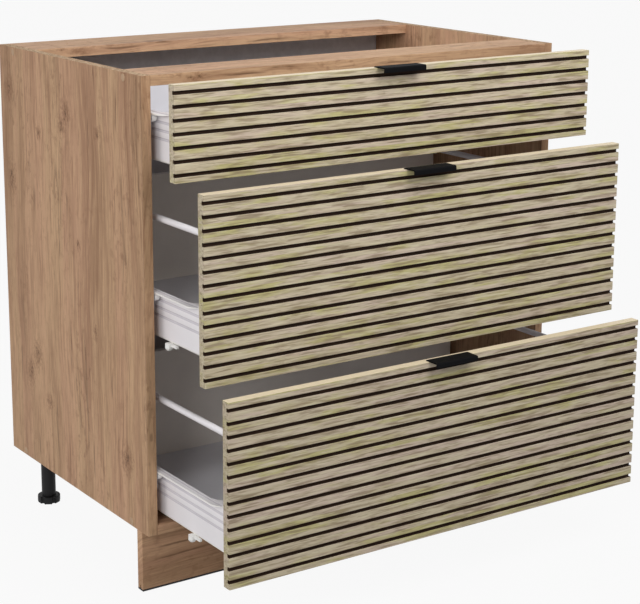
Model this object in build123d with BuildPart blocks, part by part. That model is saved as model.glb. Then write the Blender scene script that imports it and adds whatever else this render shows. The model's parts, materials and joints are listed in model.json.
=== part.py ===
"""Base cabinet with three drawers: an 800 mm kitchen carcass on levelling feet.

Frame: X to the right, -Y to the front, +Z up, the floor at Z = 0.  The origin is on the floor,
in the middle of the whole object with its drawers pulled out as they stand at rest.
All sizes are in millimetres.
"""

import os

from build123d import *

os.makedirs("parts", exist_ok=True)

# ------------------------------------------------------------------ driving sizes
# Carcass
cabinet_width = 800
carcass_height = 720
carcass_depth = 500
board = 16
front_rail_depth = 85
rear_rail_depth = 110
back_thickness = 3
back_inset = 12          # carcass rear edge to the outer face of the back panel
back_entry = 6.5         # how far the back panel enters its grooves
groove_depth = 7
groove_play = 0.1        # each side of the back panel in its groove

# Base
leg_height = 100
leg_side_inset = 45      # cabinet side to leg axis
leg_rear_inset = 45
plinth_setback = 22.5
seal_height = 3
leg_tube_radius = 12.5
leg_bore_radius = 8.4
leg_plate_size = 60
leg_plate_thickness = 5
foot_radius = 20
foot_height = 13
foot_stem_radius = 8
foot_stem_space = 25     # above the stem, in the leg's bore
foot_lobes = 8
foot_notch_radius = 3
foot_bevel = 3
leg_screw_margin = 8     # edge of the leg plate to a screw
plinth_gap = 1.5         # plinth to the leg plates
seal_tongue = 2.8
seal_tongue_depth = 5.5
seal_tongue_space = 0.5
clip_drop = 37           # carcass underside to the top of a plinth clip
clip_ring_height = 18
clip_wall = 3
clip_stem = 12
clip_mouth = 14
clip_plate_width = 44
clip_screw_margin = 5

# Drawer fronts
front_thickness = 16
top_front_height = 143
front_gap = 3            # between two fronts, and above the top one
side_gap = 2             # front edge to cabinet side
slat_pitch = 20
slat_groove_width = 5.6
slat_groove_depth = 5.5

# How far each drawer stands open at rest
open_top = 78
open_middle = 157
open_bottom = 220

# Handles: a bent plate on the top edge of each front
handle_width = 80
handle_steel = 2
handle_reach = 19        # in front of the face
handle_cover = 9         # over the top edge
handle_lip = 8
tongue_width = 60
tongue_depth = 8

# Steel drawer sides
steel = 1.2
drawer_rear_space = 35   # closed drawer to the back panel
side_height = 76
deep_side_rise = 28      # front's lower edge to the side's lower edge
top_side_rise = 15
runner_gap = 14          # carcass side to the steel wall
flange_reach = 12
flange_lip = 1
flange_nose = 5          # what is left of the flange at the front end
flange_nose_length = 25  # straight narrow stretch behind the front
flange_taper = 45        # stretch over which the flange widens
floor_flange = 14
bead_depths = (15, 27.5, 40)  # below the top of the wall
bead_width = 3.5
bead_depth = 0.6
bead_end = 30            # plain wall behind the beads, where the roller pin is riveted
drawer_board = 12
bracket_width = 20
bracket_leg = 34
bracket_steel = 2
bracket_gap = 1          # drawer bottom to the bracket
top_drop = 4             # top of the steel side to the bracket, tab and low back board
clip_setback = 133       # behind the front panel
clip_radius = 7
clip_reach = 2.5         # steel wall to the axis of a clip's knob, outwards
clip_collar = 6.5        # height of a knob's six sides
clip_tip = 4             # height of the tapered end under them
clip_tip_slope = 35      # degrees
clip_tail_length = 22    # knob axis to the front end of its tail
clip_tail_width = 4
clip_tail_height = 4     # of the tail, and of the arm that goes under the drawer
clip_arm_width = 8
clip_stub_radius = 3
clip_stub_inset = 7      # steel wall to the axis of the stub in the drawer bottom
rod_radius = 5
rod_inset = 35           # cabinet side to rod axis
rod_drop = 70            # front's upper edge to rod axis
rod_cover = 10           # back board above the rod axis
socket_radius = 9
socket_length = 12
socket_bore_depth = 8
socket_stub_radius = 4
socket_stub_length = 8

# Runners on the carcass sides
runner_drop = 10         # top of the drawer side to the top of the rail
runner_height = 16.2
runner_reach = 11
runner_start = 2         # behind the carcass front edge
front_roller_radius = 7
front_roller_setback = 10
runner_notch_space = 3   # behind the front roller
rear_roller_radius = 6.5
rear_roller_setback = 10    # in front of the side's rear end
roller_width = 8
roller_gap = 0.3         # between a roller and the track it runs on
roller_side_gap = 0.4    # between a roller and the lip or screw head beside it
pin_radius = 2.5
pin_clearance = 0.05
pin_side_gap = 0.1
pin_collar_radius = 2.9
pin_head_radius = 4
pin_head = 1.5
runner_screw_front = 70  # runner's front end to its first screw
runner_screw_rear = 60

# Fasteners
connector_radius = 2.5
connector_shank_radius = 3.5
connector_head_radius = 5
connector_head = 3
connector_length = 50
connector_inset = 55     # front or back edge of the carcass to the connector
cap_radius = 6
cap_height = 0.8
cap_stub_radius = 1.8
cap_stub_length = 2.5
screw_radius = 1.75
screw_head_radius = 3.4
screw_head = 1.5
screw_tip_gap = 1        # screw tip to the far face of a drawer board
floor_screw_margin = 70  # end of the drawer to a screw through its floor flange
back_screw_margin = 22
bracket_screw_low = 26
bracket_screw_high = 18
bracket_screw_inset = 7
fit_gap = 0.05           # around every screw and stub
worktop_hole_radius = 2.5
worktop_hole_inset = 100    # cabinet side to the worktop screw

# ------------------------------------------------------------------ places worked out from them
half_width = cabinet_width / 2
inner_half = half_width - board
drawer_length = carcass_depth - back_inset - back_thickness - drawer_rear_space
screw_length = drawer_board - screw_tip_gap
reach = max(open_top, open_middle, open_bottom) + front_thickness + handle_reach
carcass_front = (reach - carcass_depth) / 2
carcass_back = carcass_front + carcass_depth
carcass_low = leg_height
carcass_top = leg_height + carcass_height
bottom_top = carcass_low + board
rail_low = carcass_top - board
back_outer = carcass_back - back_inset
back_inner = back_outer - back_thickness

deep_front_height = (carcass_height - 3 * front_gap - top_front_height) / 2
bottom_front_low = carcass_low
middle_front_low = bottom_front_low + deep_front_height + front_gap
top_front_low = middle_front_low + deep_front_height + front_gap

wall_outer = inner_half - runner_gap
wall_inner = wall_outer - steel
web_inner = inner_half - steel
flange_edge = wall_outer + flange_reach
front_roller_outer = flange_edge - steel - roller_side_gap
front_roller_drop = steel + roller_gap + front_roller_radius
rear_roller_drop = runner_drop + steel + roller_gap + rear_roller_radius
rear_pin_length = runner_gap - steel - screw_head - roller_side_gap
back_board_front = drawer_length - steel - drawer_board

connector_ys = (carcass_front + connector_inset, carcass_back - connector_inset)
connector_zs = (carcass_low + board / 2, carcass_top - board / 2)
leg_xs = (-half_width + leg_side_inset, half_width - leg_side_inset)
plinth_front = carcass_front + plinth_setback
plinth_back = plinth_front + board
plinth_middle = (plinth_front + plinth_back) / 2
leg_ys = (plinth_back + plinth_gap + leg_plate_size / 2, carcass_back - leg_rear_inset)
leg_screw_offset = leg_plate_size / 2 - leg_screw_margin
foot_stem_length = leg_height - leg_plate_thickness - foot_height - foot_stem_space
clip_low = carcass_low - clip_drop - clip_ring_height
clip_plate = clip_wall
rail_middles = (carcass_front + front_rail_depth / 2, carcass_back - rear_rail_depth / 2)
runner_screw_ys = (carcass_front + runner_screw_front, carcass_front + drawer_length - runner_screw_rear)
clip_stub_length = drawer_board - 3 * screw_tip_gap
rod_rise = deep_front_height - rod_drop

# name, lower edge of the front, its height, how far open, rise of the steel side, rods or not
drawers = (
    ("bottom", bottom_front_low, deep_front_height, open_bottom, deep_side_rise, True),
    ("middle", middle_front_low, deep_front_height, open_middle, deep_side_rise, True),
    ("top", top_front_low, top_front_height, open_top, top_side_rise, False),
)


def save(piece, name):
    """Label a finished piece and write it to its own file."""
    piece.label = name
    export_step(piece, f"parts/{name}.step")


def block(x, y, z, mode=Mode.ADD):
    """A box between pairs of X, Y and Z limits, inside the open part."""
    with Locations(((x[0] + x[1]) / 2, (y[0] + y[1]) / 2, (z[0] + z[1]) / 2)):
        Box(abs(x[1] - x[0]), abs(y[1] - y[0]), abs(z[1] - z[0]), mode=mode)


def rod(start, direction, radius, length, mode=Mode.ADD):
    """A round bar from a point along a direction, inside the open part."""
    with BuildSketch(Plane(origin=start, z_dir=direction)) as section:
        Circle(radius)
    extrude(section.sketch, amount=length, mode=mode)


def screw(head_face, direction):
    """A pan head screw: the head stands on head_face, the shank runs along direction."""
    back = tuple(-d for d in direction)
    rod(head_face, back, screw_head_radius, screw_head)
    rod(head_face, direction, screw_radius, screw_length)


def screw_hole(head_face, direction):
    """The hole that takes the shank of a screw."""
    rod(head_face, direction, screw_radius + fit_gap, screw_length + fit_gap, Mode.SUBTRACT)


# ------------------------------------------------------------------ screw places
def runner_screw_places(flange_top):
    """Heads on the web of a pair of runners."""
    z = flange_top - runner_drop - runner_height / 2
    return [((side * web_inner, y, z), (side, 0, 0)) for side in (-1, 1) for y in runner_screw_ys]


def leg_screw_places():
    """Heads under the leg plates, four to a leg."""
    z = carcass_low - leg_plate_thickness
    return [
        ((x + i * leg_screw_offset, y + j * leg_screw_offset, z), (0, 0, 1))
        for x in leg_xs for y in leg_ys for i in (-1, 1) for j in (-1, 1)
    ]


def plinth_screw_places():
    """Heads on the clip plates behind the plinth, two to a clip."""
    y = plinth_back + clip_plate
    z = clip_low + clip_ring_height / 2
    offset = clip_plate_width / 2 - clip_screw_margin
    return [((x + i * offset, y, z), (0, -1, 0)) for x in leg_xs for i in (-1, 1)]


# ------------------------------------------------------------------ carcass
def side_panel(side, name):
    """A side board with its groove, connector holes and runner screw holes."""
    inner = side * inner_half
    outer = side * half_width
    with BuildPart() as panel:
        block((inner, outer), (carcass_front, carcass_back), (carcass_low, carcass_top))
        block((inner, inner + side * groove_depth),
              (back_inner - groove_play, back_outer + groove_play),
              (carcass_low, carcass_top), Mode.SUBTRACT)
        for z in connector_zs:
            for y in connector_ys:
                rod((outer, y, z), (-side, 0, 0), connector_head_radius + fit_gap,
                    connector_head + fit_gap, Mode.SUBTRACT)
                rod((outer, y, z), (-side, 0, 0), connector_shank_radius + fit_gap, board, Mode.SUBTRACT)
        for _, low, _, _, rise, _ in drawers:
            for place, direction in runner_screw_places(low + rise + side_height):
                if direction[0] == side:
                    screw_hole(place, direction)
    save(panel.part, name)


side_panel(-1, "side_panel_left")
side_panel(1, "side_panel_right")


def drill_board_ends(y_places, z):
    """Connector holes in both ends of a board that stands between the sides."""
    for side in (-1, 1):
        for y in y_places:
            rod((side * inner_half, y, z), (-side, 0, 0), connector_radius + fit_gap,
                connector_length - board + screw_tip_gap, Mode.SUBTRACT)


with BuildPart() as bottom_panel:
    block((-inner_half, inner_half), (carcass_front, carcass_back), (carcass_low, bottom_top))
    block((-inner_half, inner_half), (back_inner - groove_play, back_outer + groove_play),
          (bottom_top - groove_depth, bottom_top), Mode.SUBTRACT)
    drill_board_ends(connector_ys, connector_zs[0])
    for place, direction in leg_screw_places():
        screw_hole(place, direction)
save(bottom_panel.part, "bottom_panel")

with BuildPart() as top_rail_front:
    block((-inner_half, inner_half), (carcass_front, carcass_front + front_rail_depth),
          (rail_low, carcass_top))
    drill_board_ends(connector_ys[:1], connector_zs[1])
    with Locations(Plane.XY.offset(carcass_top)):
        with GridLocations(cabinet_width - 2 * worktop_hole_inset, 1, 2, 1):
            with Locations((0, rail_middles[0])):
                Hole(worktop_hole_radius, depth=board)
save(top_rail_front.part, "top_rail_front")

with BuildPart() as top_rail_rear:
    block((-inner_half, inner_half), (carcass_back - rear_rail_depth, carcass_back), (rail_low, carcass_top))
    block((-inner_half, inner_half), (back_inner - groove_play, back_outer + groove_play),
          (rail_low, rail_low + groove_depth), Mode.SUBTRACT)
    drill_board_ends(connector_ys[1:], connector_zs[1])
    with Locations(Plane.XY.offset(carcass_top)):
        with GridLocations(cabinet_width - 2 * worktop_hole_inset, 1, 2, 1):
            with Locations((0, rail_middles[1])):
                Hole(worktop_hole_radius, depth=board)
save(top_rail_rear.part, "top_rail_rear")

with BuildPart() as back_panel:
    block((-inner_half - back_entry, inner_half + back_entry), (back_inner, back_outer),
          (bottom_top - back_entry, rail_low + back_entry))
save(back_panel.part, "back_panel")

# ------------------------------------------------------------------ base
with BuildPart() as plinth:
    block((-half_width, half_width), (plinth_front, plinth_back), (seal_height, leg_height))
    half_slot = seal_tongue / 2 + groove_play
    block((-half_width, half_width), (plinth_middle - half_slot, plinth_middle + half_slot),
          (seal_height, seal_height + seal_tongue_depth + seal_tongue_space), Mode.SUBTRACT)
    for place, direction in plinth_screw_places():
        screw_hole(place, direction)
save(plinth.part, "plinth")

with BuildPart() as plinth_seal:
    block((-half_width, half_width), (plinth_front, plinth_back), (0, seal_height))
    block((-half_width, half_width), (plinth_middle - seal_tongue / 2, plinth_middle + seal_tongue / 2),
          (seal_height, seal_height + seal_tongue_depth))
save(plinth_seal.part, "plinth_seal")

with BuildPart() as plinth_clips:
    for x in leg_xs:
        with BuildSketch(Plane.XY.offset(clip_low)):
            with Locations((x, leg_ys[0])):
                Circle(leg_tube_radius + clip_wall)
            with Locations((x, (plinth_back + leg_ys[0]) / 2)):
                Rectangle(clip_stem, leg_ys[0] - plinth_back)
            with Locations((x, plinth_back + clip_plate / 2)):
                Rectangle(clip_plate_width, clip_plate)
            with Locations((x, leg_ys[0])):
                Circle(leg_tube_radius + fit_gap, mode=Mode.SUBTRACT)
            with Locations((x, leg_ys[0] + leg_tube_radius)):
                Rectangle(clip_mouth, leg_tube_radius, mode=Mode.SUBTRACT)
        extrude(amount=clip_ring_height)
    for place, direction in plinth_screw_places():
        screw_hole(place, direction)
save(plinth_clips.part, "plinth_clips")

with BuildPart() as leg_sockets:
    for x in leg_xs:
        for y in leg_ys:
            with BuildSketch(Plane.XY.offset(carcass_low)):
                with Locations((x, y)):
                    RectangleRounded(leg_plate_size, leg_plate_size, 6)
            extrude(amount=-leg_plate_thickness)
            rod((x, y, foot_height), (0, 0, 1), leg_tube_radius, carcass_low - foot_height)
            rod((x, y, foot_height), (0, 0, 1), leg_bore_radius,
                carcass_low - foot_height - leg_plate_thickness, Mode.SUBTRACT)
    for place, direction in leg_screw_places():
        screw_hole(place, direction)
save(leg_sockets.part, "leg_sockets")


def foot(x, y, name):
    """A levelling foot: a lobed collar to turn by hand and a stem in the leg's bore."""
    with BuildPart() as piece:
        with BuildSketch(Plane.XZ):
            with BuildLine():
                Polyline((0, 0), (foot_radius - 2 * foot_bevel, 0), (foot_radius, foot_bevel),
                         (foot_radius, foot_height - foot_bevel), (foot_radius - foot_bevel, foot_height),
                         (foot_stem_radius, foot_height),
                         (foot_stem_radius, foot_height + foot_stem_length),
                         (0, foot_height + foot_stem_length), close=True)
            make_face()
        revolve(axis=Axis.Z)
        with BuildSketch(Plane.XY):
            with PolarLocations(foot_radius, foot_lobes, start_angle=180 / foot_lobes):
                Circle(foot_notch_radius)
        extrude(amount=foot_height, mode=Mode.SUBTRACT)
    placed = piece.part.moved(Location((x, y, 0)))
    save(placed, name)


foot(leg_xs[0], leg_ys[0], "foot_front_left")
foot(leg_xs[1], leg_ys[0], "foot_front_right")
foot(leg_xs[0], leg_ys[1], "foot_rear_left")
foot(leg_xs[1], leg_ys[1], "foot_rear_right")

# ------------------------------------------------------------------ carcass fasteners
connector_places = [
    ((side * half_width, y, z), (-side, 0, 0)) for side in (-1, 1) for y in connector_ys for z in connector_zs
]

with BuildPart() as connector_screws:
    for place, direction in connector_places:
        rod(place, direction, connector_head_radius, connector_head)
        rod(place, direction, connector_shank_radius, board)
        rod(place, direction, connector_radius, connector_length)
        rod(place, direction, cap_stub_radius + fit_gap, cap_stub_length + fit_gap, Mode.SUBTRACT)
save(connector_screws.part, "connector_screws")

with BuildPart() as cover_caps:
    for place, direction in connector_places:
        outwards = tuple(-d for d in direction)
        rod(place, outwards, cap_radius, cap_height)
        rod(place, direction, cap_stub_radius, cap_stub_length)
save(cover_caps.part, "cover_caps")

with BuildPart() as carcass_screws:
    for _, low, _, _, rise, _ in drawers:
        for place, direction in runner_screw_places(low + rise + side_height):
            screw(place, direction)
    for place, direction in leg_screw_places() + plinth_screw_places():
        screw(place, direction)
save(carcass_screws.part, "carcass_screws")


# ------------------------------------------------------------------ runners and rollers
def runner(side, flange_top, name):
    """A C-shaped rail on a carcass side, only its web in front, with the riveted pin of a roller."""
    top = flange_top - runner_drop
    low = top - runner_height
    start = carcass_front + runner_start
    end = carcass_front + drawer_length
    roller_y = carcass_front + front_roller_setback
    roller_z = flange_top - front_roller_drop
    tip = side * (inner_half - runner_reach)
    collar = web_inner - front_roller_outer - pin_side_gap
    pin_head_start = front_roller_outer - roller_width - pin_side_gap
    with BuildPart() as rail:
        block((side * inner_half, tip), (start, end), (low, top))
        block((side * web_inner, tip), (start, end), (low + steel, top - steel), Mode.SUBTRACT)
        block((side * web_inner, tip), (start, roller_y + front_roller_radius + runner_notch_space),
              (low, top), Mode.SUBTRACT)
        with BuildSketch(Plane(origin=(side * web_inner, roller_y, roller_z), z_dir=(side, 0, 0))):
            Circle(front_roller_radius)
        extrude(amount=steel)
        pin = (side * web_inner, roller_y, roller_z)
        rod(pin, (-side, 0, 0), pin_radius, web_inner - pin_head_start)
        rod(pin, (-side, 0, 0), pin_collar_radius, collar)
        rod((side * pin_head_start, roller_y, roller_z), (-side, 0, 0), pin_head_radius, pin_head)
        for place, direction in runner_screw_places(flange_top):
            if direction[0] == side:
                screw_hole(place, direction)
    save(rail.part, name)


def front_rollers(flange_top, name):
    """The pair of rollers on the runners' pins, under the flanges of the drawer sides."""
    with BuildPart() as pair:
        for side in (-1, 1):
            start = (side * front_roller_outer, carcass_front + front_roller_setback,
                     flange_top - front_roller_drop)
            rod(start, (-side, 0, 0), front_roller_radius, roller_width)
            rod(start, (-side, 0, 0), pin_radius + pin_clearance, roller_width, Mode.SUBTRACT)
    save(pair.part, name)


def rear_rollers(flange_top, y, name):
    """The pair of rollers at the rear of the drawer sides, inside the runners."""
    with BuildPart() as pair:
        for side in (-1, 1):
            start = (side * (wall_outer + rear_pin_length), y, flange_top - rear_roller_drop)
            rod(start, (-side, 0, 0), rear_roller_radius, roller_width)
            rod(start, (-side, 0, 0), pin_radius + pin_clearance, roller_width, Mode.SUBTRACT)
    save(pair.part, name)


# ------------------------------------------------------------------ drawers
def slatted_board(low, height, face):
    """A drawer front: horizontal grooves from end to end, and the slot of the handle's tongue."""
    edge = half_width - side_gap
    count = int(height // slat_pitch)
    margin = (height - slat_pitch * (count - 1)) / 2
    with BuildPart() as front:
        block((-edge, edge), (face, face + front_thickness), (low, low + height))
        for number in range(count):
            middle = low + margin + number * slat_pitch
            block((-edge, edge), (face, face + slat_groove_depth),
                  (middle - slat_groove_width / 2, middle + slat_groove_width / 2), Mode.SUBTRACT)
        slot_back = face + handle_cover + fit_gap
        slot_front = face + handle_cover - handle_steel - fit_gap
        block((-tongue_width / 2 - fit_gap, tongue_width / 2 + fit_gap), (slot_front, slot_back),
              (low + height - tongue_depth - fit_gap, low + height), Mode.SUBTRACT)
    return front.part


def handle(top, face, name):
    """A bent plate: tongue down into the slot, over the top edge, out in front and down again."""
    rear = face + handle_cover
    lip = face - handle_reach
    with BuildPart() as plate:
        block((-handle_width / 2, handle_width / 2), (lip, rear), (top, top + handle_steel))
        block((-handle_width / 2, handle_width / 2), (lip, lip + handle_steel),
              (top + handle_steel - handle_lip, top))
        block((-tongue_width / 2, tongue_width / 2), (rear - handle_steel, rear), (top - tongue_depth, top))
        corner = plate.edges().filter_by(Axis.X).group_by(Axis.Z)[-1].sort_by(Axis.Y)[0]
        fillet(corner, handle_steel)
    save(plate.part, name)


def bottom_screw_places(side, rear, low):
    """Heads under the floor flange of one steel side."""
    x = side * (wall_inner - floor_flange / 2)
    ys = (floor_screw_margin, drawer_length - floor_screw_margin)
    return [((x, rear + y, low), (0, 0, 1)) for y in ys]


def back_screw_places(side, rear, low):
    """Heads behind the tab at the rear end of one steel side."""
    x = side * (wall_inner - floor_flange / 2)
    y = rear + drawer_length
    return [((x, y, low + z), (0, -1, 0)) for z in (back_screw_margin, side_height - back_screw_margin)]


def front_screw_places(side, rear, low):
    """Heads on the bracket that joins one steel side to the front."""
    x = side * (wall_inner - bracket_width + bracket_screw_inset)
    y = rear + bracket_steel
    return [((x, y, low + z), (0, -1, 0)) for z in (bracket_screw_low, side_height - bracket_screw_high)]


def steel_side(side, rear, low, name):
    """A folded steel side: flange and lip on top, beads in the wall, floor flange and rear tab."""
    top = low + side_height
    end = rear + drawer_length
    outer = side * wall_outer
    inner = side * wall_inner
    flange = side * flange_edge
    nose = outer + side * flange_nose
    with BuildPart() as wall:
        block((outer, inner), (rear, end), (low, top))
        block((outer, flange), (rear, end), (top - steel, top))
        block((flange - side * steel, flange), (rear, end), (top - steel - flange_lip, top - steel))
        block((inner, inner - side * floor_flange), (rear, end), (low, low + steel))
        block((inner, inner - side * floor_flange), (end - steel, end), (low + steel, top - top_drop))
        for depth in bead_depths:
            block((outer, outer - side * bead_depth), (rear, end - bead_end),
                  (top - depth - bead_width / 2, top - depth + bead_width / 2), Mode.SUBTRACT)
        with BuildSketch(Plane.XY.offset(top)):
            with BuildLine():
                Polyline((nose, rear), (flange, rear), (flange, rear + flange_nose_length + flange_taper),
                         (nose, rear + flange_nose_length), close=True)
            make_face()
        extrude(amount=-steel - flange_lip, mode=Mode.SUBTRACT)
        pin_y = end - rear_roller_setback
        pin_z = top - rear_roller_drop
        rod((outer, pin_y, pin_z), (side, 0, 0), pin_radius, rear_pin_length)
        for place, direction in bottom_screw_places(side, rear, low) + back_screw_places(side, rear, low):
            screw_hole(place, direction)
        rod((side * (wall_inner - clip_stub_inset), rear + clip_setback, low), (0, 0, 1),
            clip_stub_radius + fit_gap, steel, Mode.SUBTRACT)
    save(wall.part, name)


def drawer(name, low, height, opening, rise, has_rods):
    """All pieces of one drawer, pulled out by its opening."""
    rear = carcass_front - opening
    face = rear - front_thickness
    side_low = low + rise
    flange_top = side_low + side_height
    floor_low = side_low + steel
    floor_top = floor_low + drawer_board
    board_front = rear + back_board_front
    rod_z = low + rod_rise
    rod_x = half_width - rod_inset
    back_top = rod_z + rod_cover if has_rods else flange_top - top_drop

    front_screws = [p for side in (-1, 1) for p in front_screw_places(side, rear, side_low)]
    bottom_screws = [p for side in (-1, 1) for p in bottom_screw_places(side, rear, side_low)]
    back_screws = [p for side in (-1, 1) for p in back_screw_places(side, rear, side_low)]
    socket_stubs = [(side * rod_x, rod_z) for side in (-1, 1)]

    with BuildPart() as front:
        add(slatted_board(low, height, face))
        for place, direction in front_screws:
            screw_hole(place, direction)
        if has_rods:
            for x, z in socket_stubs:
                rod((x, rear, z), (0, -1, 0), socket_stub_radius + fit_gap,
                    socket_stub_length + fit_gap, Mode.SUBTRACT)
    save(front.part, f"front_{name}")
    handle(low + height, face, f"handle_{name}")

    steel_side(-1, rear, side_low, f"drawer_side_left_{name}")
    steel_side(1, rear, side_low, f"drawer_side_right_{name}")

    with BuildPart() as floor:
        block((-wall_inner, wall_inner), (rear, board_front), (floor_low, floor_top))
        for place, direction in bottom_screws:
            screw_hole(place, direction)
        for side in (-1, 1):
            rod((side * (wall_inner - clip_stub_inset), rear + clip_setback, floor_low), (0, 0, 1),
                clip_stub_radius + fit_gap, clip_stub_length, Mode.SUBTRACT)
    save(floor.part, f"drawer_bottom_{name}")

    with BuildPart() as back:
        block((-wall_inner, wall_inner), (board_front, board_front + drawer_board), (floor_low, back_top))
        for place, direction in back_screws:
            screw_hole(place, direction)
        if has_rods:
            for x, z in socket_stubs:
                rod((x, board_front, z), (0, 1, 0), socket_stub_radius + fit_gap,
                    socket_stub_length + fit_gap, Mode.SUBTRACT)
    save(back.part, f"drawer_back_{name}")

    with BuildPart() as front_brackets:
        for side in (-1, 1):
            x = side * wall_inner
            z = (floor_top + bracket_gap, flange_top - top_drop)
            block((x, x - side * bracket_width), (rear, rear + bracket_steel), z)
            block((x, x - side * bracket_steel), (rear, rear + bracket_leg), z)
        for place, direction in front_screws:
            screw_hole(place, direction)
    save(front_brackets.part, f"front_brackets_{name}")

    with BuildPart() as bottom_clips:
        for side in (-1, 1):
            x, y = side * (wall_outer + clip_reach), rear + clip_setback
            stub = side * (wall_inner - clip_stub_inset)
            plate = (side_low - clip_tail_height, side_low)
            with BuildSketch(Plane(origin=(x, y, side_low), z_dir=(0, 0, -1))) as collar:
                RegularPolygon(clip_radius, 6)
            extrude(collar.sketch, amount=clip_collar)
            with BuildSketch(Plane(origin=(x, y, side_low - clip_collar), z_dir=(0, 0, -1))) as tip:
                RegularPolygon(clip_radius, 6)
            extrude(tip.sketch, amount=clip_tip, taper=clip_tip_slope)
            block((x, x - side * clip_tail_width), (y - clip_tail_length, y), plate)
            block((x, stub - side * clip_stub_radius), (y - clip_arm_width / 2, y + clip_arm_width / 2), plate)
            rod((stub, y, side_low), (0, 0, 1), clip_stub_radius, clip_stub_length)
    save(bottom_clips.part, f"bottom_clips_{name}")

    with BuildPart() as drawer_screws:
        for place, direction in front_screws + bottom_screws + back_screws:
            screw(place, direction)
    save(drawer_screws.part, f"drawer_screws_{name}")

    if has_rods:
        with BuildPart() as railings:
            for x, z in socket_stubs:
                rod((x, rear + socket_length - socket_bore_depth, z), (0, 1, 0), rod_radius,
                    back_board_front - 2 * (socket_length - socket_bore_depth))
        save(railings.part, f"railings_{name}")

        with BuildPart() as railing_sockets:
            for x, z in socket_stubs:
                for y, direction in ((rear, 1), (board_front, -1)):
                    rod((x, y, z), (0, direction, 0), socket_radius, socket_length)
                    rod((x, y, z), (0, -direction, 0), socket_stub_radius, socket_stub_length)
                    rod((x, y + direction * (socket_length - socket_bore_depth), z), (0, direction, 0),
                        rod_radius + fit_gap, socket_bore_depth, Mode.SUBTRACT)
        save(railing_sockets.part, f"railing_sockets_{name}")

    runner(-1, flange_top, f"runner_left_{name}")
    runner(1, flange_top, f"runner_right_{name}")
    front_rollers(flange_top, f"front_rollers_{name}")
    rear_rollers(flange_top, rear + drawer_length - rear_roller_setback, f"rear_rollers_{name}")


for entry in drawers:
    drawer(*entry)
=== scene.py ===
"""Looks of a kitchen base cabinet with three drawers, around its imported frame.

The file is laid out as an add-on: sizes and colours are properties, each group of like pieces
is an operator, and main() calls the operators in order.  All sizes are in metres.
"""

import json
from math import cos, pi, radians, sin

import bmesh
import bpy
from bpy.props import FloatProperty, FloatVectorProperty, IntProperty, PointerProperty
from mathutils import Matrix, Vector

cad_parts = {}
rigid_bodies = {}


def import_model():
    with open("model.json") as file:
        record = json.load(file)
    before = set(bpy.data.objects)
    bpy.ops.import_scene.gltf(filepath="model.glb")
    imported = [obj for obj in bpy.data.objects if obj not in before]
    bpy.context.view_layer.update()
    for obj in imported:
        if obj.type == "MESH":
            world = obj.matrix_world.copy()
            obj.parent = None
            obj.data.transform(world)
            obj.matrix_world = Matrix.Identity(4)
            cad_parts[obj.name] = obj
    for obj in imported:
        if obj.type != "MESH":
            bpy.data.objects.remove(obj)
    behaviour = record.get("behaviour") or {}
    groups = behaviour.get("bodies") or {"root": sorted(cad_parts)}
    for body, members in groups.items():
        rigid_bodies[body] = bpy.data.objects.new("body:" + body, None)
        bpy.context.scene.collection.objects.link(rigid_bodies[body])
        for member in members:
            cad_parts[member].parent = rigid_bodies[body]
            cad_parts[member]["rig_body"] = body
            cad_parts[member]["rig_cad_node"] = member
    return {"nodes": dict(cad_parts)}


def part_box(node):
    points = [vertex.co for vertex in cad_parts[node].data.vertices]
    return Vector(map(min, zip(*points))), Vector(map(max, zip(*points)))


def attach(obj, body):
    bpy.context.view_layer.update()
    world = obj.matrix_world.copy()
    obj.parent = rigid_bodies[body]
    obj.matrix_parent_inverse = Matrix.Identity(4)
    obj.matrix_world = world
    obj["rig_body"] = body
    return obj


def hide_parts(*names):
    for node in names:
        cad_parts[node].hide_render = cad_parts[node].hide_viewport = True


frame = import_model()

bl_info = {
    "name": "Base cabinet looks",
    "version": (1, 0, 0),
    "blender": (4, 5, 0),
    "location": "3D View > Sidebar > Cabinet",
    "description": "Models and finishes the pieces of a base cabinet with drawers",
    "category": "Object",
}

MM = 0.001
TINY, HAIR = MM / 100, MM / 10  # margins for picking faces and vertices
DRAWERS = ("top", "middle", "bottom")
SIDES = (("left", -1), ("right", 1))
X, Y, Z = Vector((1, 0, 0)), Vector((0, 1, 0)), Vector((0, 0, 1))
CURVE_ROWS = 9  # rows of vertices over a curve of the drawer sides
PLAY = 0.1 * MM  # round a piece that sits in a slot or bore
SLOT_REST = 0.5 * MM  # beyond the end of a piece that sits in a slot
FOOT_RADIUS, STEM_RADIUS = 20 * MM, 8 * MM

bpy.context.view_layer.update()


def screen(red, green, blue):
    """A colour as it is picked on a screen, from 0 to 255, as linear light."""
    parts = (red / 255, green / 255, blue / 255)
    return tuple(p / 12.92 if p <= 0.04045 else ((p + 0.055) / 1.055) ** 2.4 for p in parts)


# ---- properties
def length(description, millimetres):
    return FloatProperty(description=description, default=millimetres * MM, min=0, unit="LENGTH")


def colour(description, *shades):
    return FloatVectorProperty(description=description, default=screen(*shades), size=3, min=0, max=1,
                               subtype="COLOR")


def amount(description, default):
    return FloatProperty(description=description, default=default, min=0)


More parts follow.
